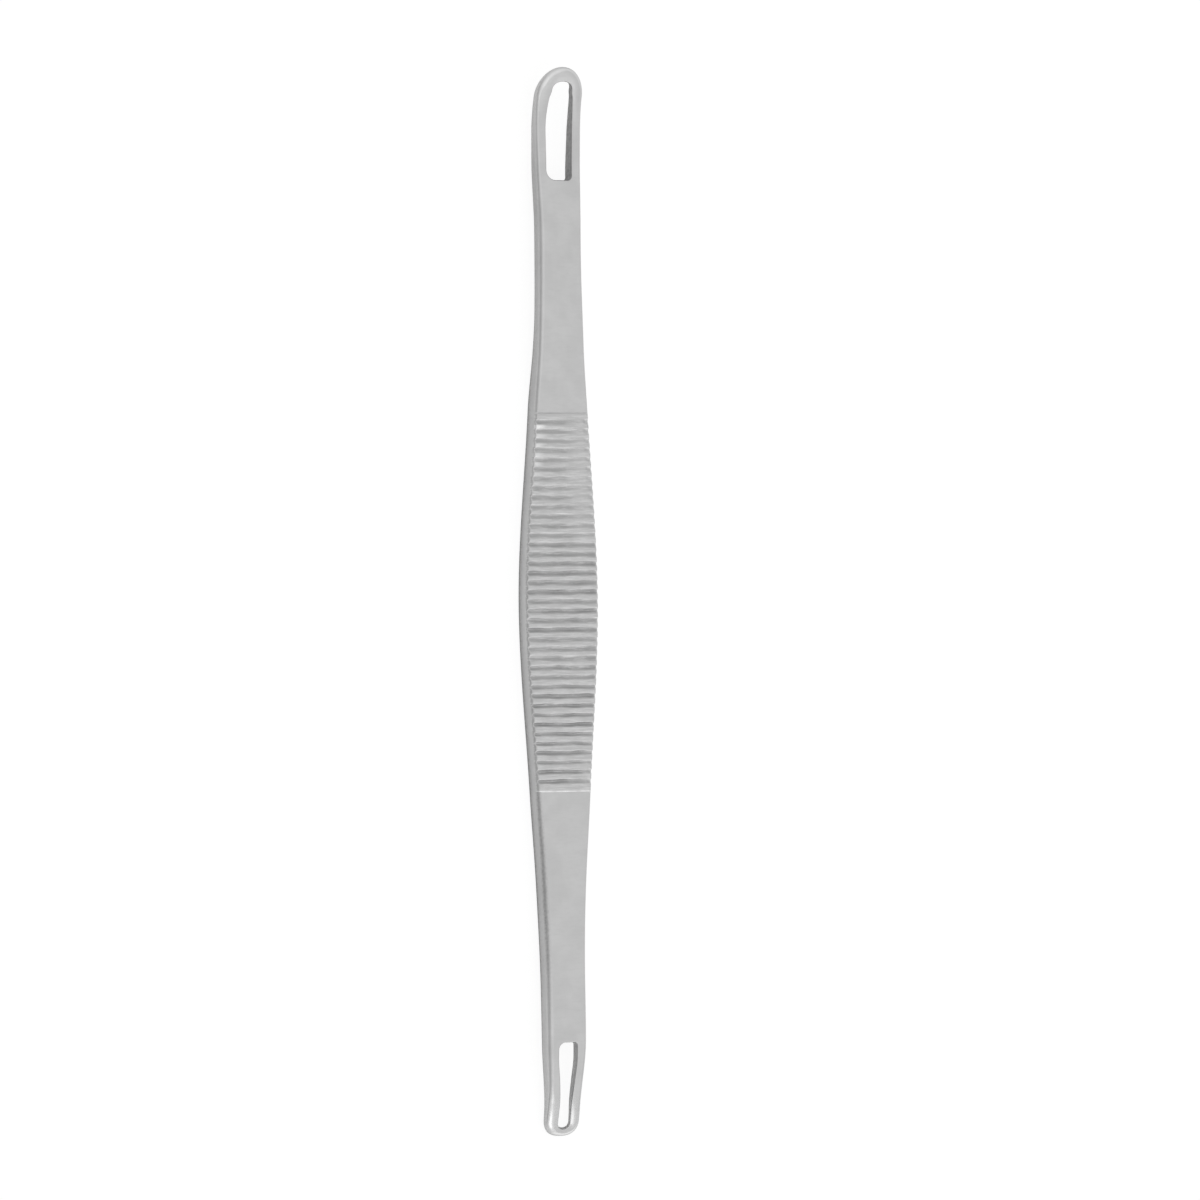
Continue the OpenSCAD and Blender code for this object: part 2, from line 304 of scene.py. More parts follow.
# Painted shade along the left front edge (a darker reflection line), on the sides, and along the back
# edges, darker towards the floor
EDGE_PAINTED_SHADE = (
    (SMALL_TIP, 0.0),
    (SMALL_JOINT, 0.15),
    (LOWER_FLARE, 1.25),
    (-PAD_END, 1.1),
    (0.0, 0.9),
    (PAD_END, 0.5),
    (UPPER_FLARE, 0.05),
    (LARGE_TIP, 0.0),
)
SIDE_PAINTED_SHADE = (
    (SMALL_TIP, 0.0),
    (SMALL_JOINT, 0.1),
    (LOWER_FLARE, 0.2),
    (0.0, 0.0),
    (PAD_END, 0.2),
    (UPPER_NECK, 0.4),
    (LARGE_SLOT_IN, 0.45),
    (LARGE_CURL_START, 0.1),
    (LARGE_TIP, 0.0),
)
BACK_PAINTED_SHADE = (
    (SMALL_TIP, 0.0),
    (SMALL_JOINT, 0.6),
    (LOWER_FLARE, 1.35),
    (0.0, 1.35),
    (PAD_END, 1.1),
    (UPPER_TAPER, 0.6),
    (LARGE_CURL_START, 0.3),
    (LARGE_TIP, 0.1),
)
THICKNESSES = (
    (SMALL_TIP, SMALL_TIP_T),
    (SMALL_ROUND, SMALL_ROUND_T),
    (SMALL_SLOT_MID, SMALL_MID_T),
    (SMALL_SLOT_IN, SMALL_SLOT_T),
    (LOWER_TAPER, LOWER_SHANK_T),
    (-PAD_END, FRONT_Z),
    (PAD_END, FRONT_Z),
    (UPPER_TAPER, UPPER_SHANK_T),
    (LARGE_SLOT_IN, LARGE_SLOT_T),
    (LARGE_CURL_START, LARGE_MID_T),
    (LARGE_ROUND, LARGE_ROUND_T),
    (LARGE_TIP, LARGE_TIP_T),
)


# Curves along the tool

def slope_between(table, i, j):
    return (table[j][1] - table[i][1]) / (table[j][0] - table[i][0])


def slope(table, i):
    if i in (0, len(table) - 1):
        return 0.0
    if slope_between(table, i - 1, i) * slope_between(table, i, i + 1) <= 0:
        return 0.0
    return slope_between(table, i - 1, i + 1)


def along(table, y):
    """Smooth curve through a table of (place, value) rows, level at both ends."""
    i = 0
    while i < len(table) - 2 and y >= table[i + 1][0]:
        i += 1
    span = table[i + 1][0] - table[i][0]
    u = (y - table[i][0]) / span
    rise_in = slope(table, i) * span
    rise_out = slope(table, i + 1) * span
    return (
        table[i][1] * (1 + 2 * u) * (1 - u) ** 2
        + rise_in * u * (1 - u) ** 2
        + table[i + 1][1] * (3 - 2 * u) * u**2
        - rise_out * (1 - u) * u**2
    )


def ease(u):
    c = min(max(u, 0.0), 1.0)
    return c * c * (3 - 2 * c)


def ramp(x, start, length):
    """Rises smoothly from 0 at the start to 1 after the length."""
    return ease((x - start) / length)


def bend(u):
    return max(u, 0.0) ** 2


def front_at(y):
    return (
        FRONT_Z
        + UPPER_LIFT * ramp(y, PAD_END, UPPER_LIFT_LEN)
        - UPPER_LIFT * ease((y - LARGE_JOINT) / BLEND_LEN + 0.5)
        + LARGE_CURL * bend((y - LARGE_CURL_START) / LARGE_CURL_LEN)
        + SMALL_LIFT * ramp(-y, -LOWER_FLARE, LOWER_FLARE - SMALL_CURL_START)
        - SMALL_CURL * bend((SMALL_CURL_START - y) / SMALL_CURL_LEN)
    )


def thickness_at(y):
    return along(THICKNESSES, y)


def back_at(y):
    return front_at(y) - thickness_at(y)


def half_at(y):
    return along(WIDTHS, y) / 2


def front_r_at(y, side):
    """Radius of the front edge: side is 1 on the right and -1 on the left, which is ground rounder."""
    right = ease(side / 2 + 0.5)
    wanted = along(LEFT_RADII, y) * (1 - right) + along(RIGHT_RADII, y) * right
    return min(wanted, thickness_at(y) * WIDE_SHARE)


def back_r_at(y):
    return min(BACK_EDGE_R, thickness_at(y) * NARROW_SHARE)


def crown_at(y):
    """How far the loops' rims are crowned: flat beside the shanks, full near the tips."""
    large = ramp(y, LARGE_CURL_START, LARGE_ROUND - LARGE_CURL_START)
    small = ramp(-y, -SMALL_SLOT_MID, SMALL_SLOT_MID - SMALL_ROUND)
    return LARGE_CROWN * large + SMALL_CROWN * small


def polish_and_highlight_at(y):
    """How far the front edges are rubbed bright and carry a painted highlight: most at the two tips, least
    on the small loop.
    """
    large_tip = LARGE_TIP_HIGHLIGHT * ramp(y, LARGE_ROUND, TIP_HIGHLIGHT_LEN)
    small_loop = SMALL_LOOP_LESS_SHEEN * ramp(-y, -SMALL_JOINT, LOOP_DULL_LEN)
    small_tip = SMALL_TIP_HIGHLIGHT * ramp(-y, -SMALL_WAIST, TIP_HIGHLIGHT_LEN)
    return EDGE_POLISH_AND_HIGHLIGHT + large_tip - small_loop + small_tip


def rub_and_sheen(a):
    """Where a rounded edge is rubbed and carries a painted highlight: a is how far it has turned away from
    the front.
    """
    return math.sin(2 * a) * math.cos(a) ** 3


# Meshes from rings of points

class Skin:
    """Rings of points with, at each point, how worn bright its edge is with a painted highlight, and how
    much painted shade it carries.
    """

    def __init__(self):
        self.rings = []
        self.edge = []
        self.painted_shade = []

    def add(self, points, edge=0.0, painted_shade=0.0):
        self.rings.append(list(points))
        count = len(self.rings[-1])
        self.edge.append(list(edge) if hasattr(edge, "__len__") else [edge] * count)
        self.painted_shade.append(list(painted_shade) if hasattr(painted_shade, "__len__") else [painted_shade] * count)

    def build(self, name, node, wrap, cap_planes):
        """One closed mesh that stands for a node. Edges of the cap planes stay sharp."""
        count = len(self.rings[0])
        mesh = bpy.data.meshes.new(name)
        bm = bmesh.new()
        wear_and_highlight_layer = bm.verts.layers.float.new("wear_and_painted_highlight")
        painted_shade_layer = bm.verts.layers.float.new("painted_shade")
        grid = []
        for points, edges, shade_shares in zip(self.rings, self.edge, self.painted_shade):
            row = []
            for point, wear_and_highlight, shade_share in zip(points, edges, shade_shares):
                vert = bm.verts.new((point[0] + along(BOWS, point[1]), point[1], point[2]))
                vert[wear_and_highlight_layer] = wear_and_highlight
                vert[painted_shade_layer] = shade_share
                row.append(vert)
            grid.append(row)
        last = len(grid) if wrap else len(grid) - 1
        for j in range(last):
            low, high = grid[j], grid[(j + 1) % len(grid)]
            for i in range(count):
                k = (i + 1) % count
                bm.faces.new((low[i], low[k], high[k], high[i]))
        if not wrap:
            bm.faces.new(list(reversed(grid[0])))
            bm.faces.new(grid[-1])
        bmesh.ops.recalc_face_normals(bm, faces=bm.faces)
        for face in bm.faces:
            face.smooth = True
        for plane_y in cap_planes:
            caps = {f for f in bm.faces if all(abs(v.co.y - plane_y) < SAME_PLACE for v in f.verts)}
            for line in bm.edges:
                inside = sum(f in caps for f in line.link_faces)
                if inside == 1:
                    line.smooth = False
        bm.to_mesh(mesh)
        bm.free()
        piece = bpy.data.objects.new(name, mesh)
        bpy.context.scene.collection.objects.link(piece)
        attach(piece, "root")
        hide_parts(node)
        return piece


def spread(low, high, step):
    count = max(2, math.ceil((high - low) / step) + 1)
    return [low + (high - low) * i / (count - 1) for i in range(count)]


# Shanks and grip: cross-sections one after another along Y

def half_section(y, sign, top, edge_r, flat_steps, drop, painted_shade, wear_and_sheen):
    """One side of a cross-section, from the middle of the front round to the middle of the back.

    drop(x) sinks the front; the next function gives the painted shade in a groove, and the last how rubbed
    a crest is, with painted highlights.
    """
    half, low, back_r = half_at(y), back_at(y), back_r_at(y)
    edge_shade, side_shade, back_shade = (along(table, y) for table in (EDGE_PAINTED_SHADE, SIDE_PAINTED_SHADE, BACK_PAINTED_SHADE))
    points, edge, shade_share = [], [], []

    def put(x, z, wear_and_highlight, depth):
        points.append((sign * x, y, z))
        edge.append(wear_and_highlight)
        shade_share.append(depth)

    flat = half - edge_r
    for i in range(flat_steps):
        x = flat * i / flat_steps
        put(x, top - drop(sign * x), wear_and_sheen(sign * x), painted_shade(sign * x))
    # depth holds the painted shade where the front edge begins; the edge gets rubbing with a painted
    # highlight, and painted shade as a dark line on the left and on the side
    brow, depth, rubbed_and_sheen = top - drop(sign * flat), painted_shade(sign * flat), wear_and_sheen(sign * flat)
    for i in range(EDGE_STEPS + 1):
        a = math.pi / 2 * i / EDGE_STEPS
        put(
            flat + edge_r * math.sin(a),
            brow - edge_r * (1 - math.cos(a)),
            max(rub_and_sheen(a) * polish_and_highlight_at(y), rubbed_and_sheen * math.cos(a)),
            max(depth * math.cos(a), math.sin(2 * a) * edge_shade * (sign < 0), side_shade * math.sin(a)),
        )
    wall_top, wall_low = brow - edge_r, low + back_r
    # Side wall and back edge: painted shade, darker towards the bottom
    for i in range(1, WALL_STEPS):
        u = i / WALL_STEPS
        put(half, wall_top + (wall_low - wall_top) * u, 0.0, max(side_shade, back_shade * u**3))
    for i in range(EDGE_STEPS + 1):
        a = math.pi / 2 * i / EDGE_STEPS
        put(
            half - back_r * (1 - math.cos(a)),
            low + back_r * (1 - math.sin(a)),
            0.0,
            back_shade * math.cos(a),
        )
    for i in range(1, FLAT_STEPS + 1):
        put((half - back_r) * (1 - i / FLAT_STEPS), low, 0.0, 0.0)
    return points, edge, shade_share


def none(x):
    return 0.0


def add_section(skin, y, top, radius, flat_steps, drop=none, painted_shade=none, wear_and_sheen=none):
    """Adds one whole cross-section; radius(sign) is the front edge's radius on that side."""
    right = half_section(y, 1, top, radius(1), flat_steps, drop, painted_shade, wear_and_sheen)
    left = half_section(y, -1, top, radius(-1), flat_steps, drop, painted_shade, wear_and_sheen)
    points, edge, shade_share = (a + list(reversed(b[1:-1])) for a, b in zip(right, left))
    skin.add(points, edge, shade_share)


def plain_bar(name, node, low_y, high_y):
    skin = Skin()
    for y in spread(low_y, high_y, PLAIN_STEP):
        add_section(skin, y, front_at(y), lambda sign: front_r_at(y, sign), FLAT_STEPS)
    return skin.build(name, node, False, (low_y, high_y))


# Grip: hand-ground cross grooves, each a little uneven, fading out on the right near the pad's ends

GROOVE_COUNT = int((2 * PAD_END - 2 * END_STRIP) / GROOVE_PITCH) + 1
chance = random.Random(5)
# Six chance shares for each groove: two waves, width, its ripple, depth and its ripple
uneven = [[chance.uniform(-1, 1) for k in range(6)] for g in range(GROOVE_COUNT)]


def ripple(x, length, shift):
    return math.sin(2 * math.pi * x / length + math.pi * shift)


def fade_at(x, y):
    """How far the grooves die out: shallower near the upper end, and towards the right near both."""
    upper = ramp(y, UPPER_FADE_START, UPPER_FADE_LEN)
    lower = ramp(-y, LOWER_FADE_START, LOWER_FADE_LEN)
    right = ramp(x, UPPER_RIGHT_START, UPPER_RIGHT_LEN)
    far_right = ramp(x, LOWER_RIGHT_START, LOWER_RIGHT_LEN)
    along_pad = (1 - UPPER_FADE * upper) * (1 - UPPER_RIGHT_FADE * upper * right)
    return along_pad * (1 - LOWER_RIGHT_FADE * lower * far_right)


def cut_at(x, y):
    """The same for the cut itself, which is deep again where a groove runs out over the right edge."""
    return max(fade_at(x, y), NOTCH * ramp(x - half_at(y), -NOTCH_START, NOTCH_LEN))


def groove_share(x, y, fade):
    """0 on the crests to about 1 along the bottom of a groove."""
    g = round(y / GROOVE_PITCH + (GROOVE_COUNT - 1) / 2)
    g = min(max(g, 0), GROOVE_COUNT - 1)
    long_shift, short_shift, wider, width_shift, deeper, depth_shift = uneven[g]
    long_wave = LONG_WAVE_SHARE * ripple(x, LONG_WAVE, long_shift)
    short_wave = SHORT_WAVE_SHARE * ripple(x, SHORT_WAVE, short_shift)
    centre = (g - (GROOVE_COUNT - 1) / 2) * GROOVE_PITCH
    centre += GROOVE_WAVE * (long_wave + short_wave)
    width = GROOVE_W * (1 + WIDTH_CHANCE * wider + WIDTH_RIPPLE * ripple(x, WIDTH_WAVE, width_shift))
    width *= 1 - LOWER_NARROW * ramp(-y, LOWER_NARROW_START, LOWER_NARROW_LEN)
    u = (centre + width / 2 - y) / width
    if u <= 0 or u >= 1:
        return 0.0
    depth = 1 + DEPTH_CHANCE * deeper + DEPTH_RIPPLE * ripple(x, DEPTH_WAVE, depth_shift)
    return depth * fade(x, y) * (0.5 - 0.5 * math.cos(2 * math.pi * u**GROOVE_SKEW))


def crest_wear_and_highlight(x, y, share):
    """Crests are rubbed a little all over; the left ends of the upper ones get a painted highlight,
    brightest on the first.
    """
    crest = max(0.0, 1 - CREST_NARROWNESS * share)
    left_end = ramp(-x - half_at(y), -LEFT_HIGHLIGHT_START, LEFT_HIGHLIGHT_LEN)
    left_end *= ramp(y, UPPER_HIGHLIGHT_START, UPPER_HIGHLIGHT_LEN)
    left_end *= y < PAD_END - END_STRIP
    if y <= PAD_END - END_STRIP - GROOVE_PITCH:
        left_end *= OTHER_CREST_HIGHLIGHT
    return crest * (CREST_WEAR + left_end)


def step_highlight(x, y, step):
    """Painted highlight along the step at the pad's lower end, in streaks."""
    long_streak = LONG_STREAK * ripple(x, LONG_STREAK_WAVE, LONG_STREAK_SHIFT)
    short_streak = SHORT_STREAK * ripple(x, SHORT_STREAK_WAVE, SHORT_STREAK_SHIFT)
    streaky = STREAK_LEVEL + long_streak + short_streak
    return math.sin(math.pi * step) * LOWER_STEP_HIGHLIGHT * streaky * (y < 0)


def ridged_grip(name, node):
    stations = []
    for i in range(STEP_STEPS + 1):
        a = math.pi / 2 * i / STEP_STEPS
        stations.append((-PAD_END + LOWER_STEP_ROUND * (1 - math.cos(a)), 1 - math.sin(a)))
    plain = spread(-PAD_END + LOWER_STEP_ROUND, PAD_END - UPPER_STEP_ROUND, GROOVE_PITCH / GROOVE_STEPS)
    stations += [(y, 0.0) for y in plain[1:-1]]
    for i in range(STEP_STEPS + 1):
        u = 1 - i / STEP_STEPS
        stations.append((PAD_END - UPPER_STEP_ROUND * u, 1 - ease(u)))
    skin = Skin()
    for y, step in stations:

        def share_at(x):
            return groove_share(x, y, fade_at)

        def drop(x):
            return PAD_STEP * step + GROOVE_D * groove_share(x, y, cut_at)

        # Rubbing on the crests, with painted highlights at their left ends and along the lower step
        def wear_and_sheen(x):
            return crest_wear_and_highlight(x, y, share_at(x)) + step_highlight(x, y, step)

        def radius(sign):
            grooved = groove_share(sign * (half_at(y) - PAD_EDGE_R), y, cut_at)
            mouth = GROOVE_RIGHT_R if sign > 0 else GROOVE_MOUTH_R
            at_pad = PAD_EDGE_R + (mouth - PAD_EDGE_R) * min(grooved, 1.0)
            return at_pad + (front_r_at(y, sign) - at_pad) * step

        # The groove share also gives the painted shade in the grooves
        add_section(skin, y, GRIP_T, radius, PAD_FLAT_STEPS, drop, share_at, wear_and_sheen)
    return skin.build(name, node, False, (-PAD_END, PAD_END))


# Loops: an outline with rounded edges joined to a slot with rounded edges, as one skin

def half_outline(out, joint, round_y, tip):
    flat = half_at(joint) - max(front_r_at(joint, -1), front_r_at(joint, 1))
    points = [(flat * i / BASE_STEPS, joint, 0.0, 0.0) for i in range(BASE_STEPS)]
    square = TIP_SQUARE if out < 0 else 1.0
    for i in range(SIDE_STEPS):
        y = joint + (round_y - joint) * i / SIDE_STEPS
        points.append((half_at(y), y, -1.0, 0.0))
    for i in range(TIP_STEPS + 1):
        a = math.pi / 2 * i / TIP_STEPS
        points.append((
            half_at(round_y) * math.cos(a) ** square,
            round_y + (tip - round_y) * math.sin(a) ** square,
            -math.cos(a),
            -out * math.sin(a),
        ))
    return points


def half_slot(out, slot_in, slot_out, widths, round_len, corner):
    """Right half. widths: (distance from the slot's inner end, width) rows that its side follows."""
    in_w, out_w = widths[0][1], widths[-1][1]
    square = LARGE_SLOT_SQUARE if out > 0 else SMALL_SLOT_SQUARE
    r_in = in_w / 2 * corner
    flat_x = in_w / 2 - r_in
    low_y = slot_in + out * r_in
    high_y = slot_out - out * round_len
    length = abs(slot_out - slot_in)
    rows = [(r_in, in_w)] + list(widths[1:-1]) + [(length - round_len, out_w)]
    points = [(0.0, slot_in, 0.0, -out)]
    for i in range(BASE_STEPS - 1):
        a = math.pi / 2 * i / (BASE_STEPS - 1)
        points.append((
            flat_x + r_in * math.sin(a),
            low_y - out * r_in * math.cos(a),
            math.sin(a),
            -out * math.cos(a),
        ))
    for i in range(SIDE_STEPS):
        y = low_y + (high_y - low_y) * i / SIDE_STEPS
        points.append((along(rows, abs(y - slot_in)) / 2, y, 1.0, 0.0))
    for i in range(TIP_STEPS + 1):
        a = math.pi / 2 * i / TIP_STEPS
        points.append((
            out_w / 2 * math.cos(a) ** square,
            high_y + out * round_len * math.sin(a) ** square,
            math.cos(a),
            out * math.sin(a),
        ))
    return points


def closed(right, left):
    """A whole outline from two halves that are both given for the right side."""
    return right + [(-x, y, -nx, ny) for x, y, nx, ny in reversed(left[1:-1])]


def moved_aside(outline, aside):
    """The outline moved across by aside(y)."""
    return [(x + aside(y), y, nx, ny) for x, y, nx, ny in outline]


def lean_at(y):
    """How far a wall cut square to the curled face moves along Y from the front to the back."""
    step = 0.1 * MM
    return thickness_at(y) * (front_at(y + step / 2) - front_at(y - step / 2)) / step


def rim_ring(outline, front, inset, drop, size, lean=0.0):
    """Points along an outline, moved into the metal and away from a face by shares of the edge's size.

    size(x, y) gives the edge's width, its depth and the share of the crown that it lies below the front.
    """
    points = []
    for x, y, nx, ny in outline:
        wide, deep, fall = size(x, y)
        px, py = x + nx * inset * wide, y + ny * inset * wide
        py += lean * lean_at(y) * (not front)
        pz = front_at(py) - crown_at(py) * fall - drop * deep if front else back_at(py) + drop * deep
        points.append((px, py, pz))
    return points


def loop(
    name, node, out, joint, round_y, tip, slot_in, slot_out, widths, slot_round, aside,
    hollow_w, hollow_d, bulge,
):
    """A rim round a slot, out (1 or -1) along Y.

    hollow_w, hollow_d and bulge shape the hollow round the slot's back: a bulge of 1 is a round
    edge and one of 2 a straight bevel.
    """
    half = half_outline(out, joint, round_y, tip)
    rim = closed(half, half)
    right_slot = half_slot(out, slot_in, slot_out, widths, slot_round, SLOT_RIGHT_CORNER)
    left_slot = half_slot(out, slot_in, slot_out, widths, slot_round, SLOT_LEFT_CORNER)
    slot = moved_aside(closed(right_slot, left_slot), aside)
    sides = range(BASE_STEPS, BASE_STEPS + SIDE_STEPS + 1)
    narrowest = min(rim[i][0] - slot[i][0] for i in sides)
    most = narrowest - back_r_at(slot_in) - MIN_FLAT
    # How wide the rim's front edge may be at each of its points, so that it stays clear of the slot's
    taken = SLOT_EDGE_R + RIM_FLAT
    room = {r[:2]: min(math.dist(r[:2], s[:2]) for s in slot) - taken for r in rim}
    rim_fall = 1.0 if out > 0 else 0.0

    def slot_fall(x):
        """How far the crown falls at the slot's edge: on the small loop only on the right."""
        return 1.0 if out > 0 else ease(0.5 + x / TIP_TURN)

    def front_edge(x, y):
        radius = front_r_at(y, max(-1.0, min(1.0, x / SMALL_ROUND_LEN)))
        wider = SMALL_LEFT_EXTRA * ease(-x / SMALL_ROUND_LEN)
        wider *= ramp(-y, -SMALL_SLOT_MID, SMALL_EXTRA_LEN)
        large_wider = LARGE_LEFT_EXTRA * ramp(-x, -LARGE_EXTRA_START, LARGE_EXTRA_LEN)
        wider += large_wider * ramp(y, LARGE_ROUND, LARGE_EXTRA_LEN)
        return min(radius + wider, room[x, y]), radius, rim_fall

    def slot_edge(x, y):
        return SLOT_EDGE_R, min(SLOT_EDGE_R, thickness_at(y) * NARROW_SHARE), slot_fall(x)

    def hollow(x, y):
        return min(hollow_w, most), min(hollow_d, thickness_at(y) * WIDE_SHARE), 0.0

    def back_edge(x, y):
        return back_r_at(y), back_r_at(y), 0.0

    skin = Skin()

    def edge_rings(outline, front, size, inward, wear_and_highlight, painted_shade, power=1, lean=0.0):
        for i in range(EDGE_STEPS + 1):
            a = math.pi / 2 * (i if inward else EDGE_STEPS - i) / EDGE_STEPS
            inset, drop = 1 - math.cos(a) ** power, 1 - math.sin(a) ** power
            points = rim_ring(outline, front, inset, drop, size, lean)
            turned = a if front else math.pi / 4
            # Rubbing with a painted highlight, and painted shade fading over the edge
            rubbed_and_sheen = [rub_and_sheen(math.pi / 2 - turned) * wear_and_highlight * polish_and_highlight_at(y) for x, y, nx, ny in outline]
            skin.add(points, rubbed_and_sheen, [painted_shade(y) * math.cos(a) for x, y, nx, ny in outline])

    # Painted shade on the slot's walls, the side walls and the back edges
    def slot_shade(y):
        return LARGE_SLOT_PAINTED_SHADE if out > 0 else SMALL_SLOT_PAINTED_SHADE

    def side_shade(y):
        return along(SIDE_PAINTED_SHADE, y)

    def back_shade(y):
        return along(BACK_PAINTED_SHADE, y)

    def between(first, second, steps, front, painted_shade=none):
        """Rings that lie on a face between two rings, or on a wall where front is None."""
        for i in range(1, steps):
            u = i / steps
            points = []
            for p, q, edge in zip(first, second, slot):
                x, y, z = (p[k] + (q[k] - p[k]) * u for k in range(3))
                if front is not None:
                    fall = rim_fall * (1 - u) ** 2 + slot_fall(edge[0]) * u**2
                    z = front_at(y) - crown_at(y) * fall if front else back_at(y)
                points.append((x, y, z))
            skin.add(points, 0.0, [painted_shade(y) for x, y, z in points])

    edge_rings(rim, True, front_edge, True, RIM_WEAR_AND_HIGHLIGHT, side_shade)
    between(skin.rings[-1], rim_ring(slot, True, 1, 0, slot_edge), FLAT_STEPS, True)
    edge_rings(slot, True, slot_edge, False, SLOT_WEAR_AND_HIGHLIGHT, slot_shade)
    wall_end = rim_ring(slot, False, 0, 1, hollow, SLOT_LEAN)
    between(skin.rings[-1], wall_end, WALL_STEPS, None, slot_shade)
    edge_rings(slot, False, hollow, True, HOLLOW_WEAR_AND_HIGHLIGHT, slot_shade, bulge, SLOT_LEAN)
    between(skin.rings[-1], rim_ring(rim, False, 1, 0, back_edge), WALL_STEPS, False)
    edge_rings(rim, False, back_edge, False, 0.0, back_shade)
    between(skin.rings[-1], rim_ring(rim, True, 0, 1, front_edge), WALL_STEPS, None, side_shade)
    return skin.build(name, node, True, (joint,))


def large_aside(y):
    return LARGE_SLOT_ASIDE * ramp(y, LARGE_CURL_START, LARGE_SLOT_OUT - LARGE_CURL_START)


def small_aside(y):
    return SMALL_SLOT_ASIDE


large_loop = loop(
    "large_slotted_loop", "large_loop", 1,
    LARGE_JOINT, LARGE_ROUND, LARGE_TIP, LARGE_SLOT_IN, LARGE_SLOT_OUT,
    (
        (0.0, LARGE_SLOT_IN_W),
        (LARGE_SLOT_LEN - LARGE_SLOT_MID, LARGE_SLOT_MID_W),
        (LARGE_SLOT_LEN - LARGE_SLOT_NEAR, LARGE_SLOT_NEAR_W),
        (LARGE_SLOT_LEN, LARGE_SLOT_OUT_W),
    ),
    LARGE_SLOT_ROUND, large_aside, SLOT_BACK_R, SLOT_BACK_R, ROUND_BULGE,
)
upper_shank = plain_bar("upper_flat_shank", "upper_shank", PAD_END, LARGE_JOINT)
grip = ridged_grip("ridged_grip", "grip")
lower_shank = plain_bar("lower_flat_shank", "lower_shank", SMALL_JOINT, -PAD_END)
small_loop = loop(
    "small_slotted_loop", "small_loop", -1,
    SMALL_JOINT, SMALL_ROUND, SMALL_TIP, SMALL_SLOT_IN, SMALL_SLOT_OUT,
    (
        (0.0, SMALL_SLOT_IN_W),
        (SMALL_SLOT_LEN - SMALL_SLOT_TAPER, SMALL_SLOT_IN_W),
        (SMALL_SLOT_LEN - SMALL_SLOT_MID_OUT, SMALL_SLOT_MID_W),
        (SMALL_SLOT_LEN - SMALL_SLOT_NEAR, SMALL_SLOT_NEAR_W),
        (SMALL_SLOT_LEN, SMALL_SLOT_OUT_W),
    ),
    SMALL_SLOT_ROUND, small_aside, DISH_W, DISH_D, DISH_BULGE,
)
pieces = (large_loop, upper_shank, grip, lower_shank, small_loop)


# Materials

# Greys of the steel
STEEL_DARK = 0.57
STEEL_LIGHT = 0.61
STEEL_BLOTCH = 0.5
PAINTED_SHADE_GREY = 0.315
STEEL_WORN_AND_HIGHLIGHT = 0.92
FILED_DARK = 0.46
FILED_LIGHT = 0.75

# Shares of the dull and filed greys
BLOTCH_SHARE = 0.2
SHADE_MOTTLE_LEAST = 0.58
SHADE_MOTTLE_MOST = 0.92
GROUND_LEAST = 0.6
FILED_DARK_MOST = 0.55
FILED_LIGHT_MOST = 0.3

# Roughness
ROUGH_LEAST = 0.32
ROUGH_MOST = 0.4
LARGE_LOOP_MATT = 0.06
SMALL_TIP_SMOOTH = 0.09
SUNK_ROUGHER = 0.08
WORN_SMOOTHER = 0.1

# Noise: scale of each grain, and how two of them are added
CLOUD_SCALE = 350
BLOTCH_SCALE = 900
STREAK_SCALE = 900
GRAIN_SCALE = 9000
SHADE_MOTTLE_SCALE = 3200
FINE_SCALE = 1700
COARSE_SCALE = 900
FINE_SHARE = 0.75
COARSE_SHARE = 0.25
GRAIN_SHARE = 0.6
STREAK_SHARE = 0.4

# The pad's face starts this far inside its ends and this far below its top
PAD_MASK_END = 0.1 * MM
PAD_MASK_LOW = 0.6 * MM
PAD_MASK_HIGH = 0.4 * MM

# Bump
GRAIN_HEIGHT = 0.02 * MM
GRAIN_STRENGTH = 0.12
GRAIN_SMOOTHED = 0.8
FILING_HEIGHT = 0.035 * MM
FILING_STRENGTH = 0.8


def grey(level):
    return (level, level, level, 1)


class Nodes:
    """Short calls for a node tree."""

    def __init__(self, tree):
        self.tree = tree
        tree.nodes.clear()

    def new(self, kind, **settings):
        node = self.tree.nodes.new(kind)
        for key, value in settings.items():
            setattr(node, key, value)
        return node

    def link(self, source, target):
        self.tree.links.new(source, target)

    def fill(self, target, value):
        """Sets a socket to a number or links it to another node's output."""
        if isinstance(value, bpy.types.NodeSocket):
            self.link(value, target)
        else:
            target.default_value = value

    def math(self, operation, a, b=0.0):
        node = self.new("ShaderNodeMath", operation=operation)
        self.fill(node.inputs[0], a)
        self.fill(node.inputs[1], b)
        return node.outputs[0]

    def add(self, a, b):
        return self.math("ADD", a, b)

    def times(self, a, b):
        return self.math("MULTIPLY", a, b)

    def less(self, a, b):
        return self.math("SUBTRACT", a, b)

    def mix(self, factor, a, b):
        node = self.new("ShaderNodeMix", data_type="RGBA")
        self.fill(node.inputs["Factor"], factor)
        self.fill(node.inputs["A"], a)
        self.fill(node.inputs["B"], b)
        return node.outputs["Result"]

    def remap(self, value, low, high, to_low, to_high):
        """Carries the range from low to high over to the second one, easing in and out."""
        node = self.new("ShaderNodeMapRange", interpolation_type="SMOOTHSTEP")
        for key, number in zip(("From Min", "From Max", "To Min", "To Max"), (low, high, to_low, to_high)):
            self.fill(node.inputs[key], number)
        self.fill(node.inputs["Value"], value)
        return node.outputs["Result"]

    def noise(self, vector, stretch, scale, detail=2.0, rough=0.5):
        """Noise with a grain size of 1 / scale metres, drawn out by stretch along each axis."""
        mapping = self.new("ShaderNodeMapping")
        mapping.inputs["Scale"].default_value = stretch
        self.link(vector, mapping.inputs["Vector"])
        node = self.new("ShaderNodeTexNoise")
        node.inputs["Scale"].default_value = scale
        node.inputs["Detail"].default_value = detail
        node.inputs["Roughness"].default_value = rough
        self.link(mapping.outputs["Vector"], node.inputs["Vector"])
        return node.outputs["Fac"]

    def attribute(self, name):
        return self.new("ShaderNodeAttribute", attribute_name=name).outputs["Fac"]


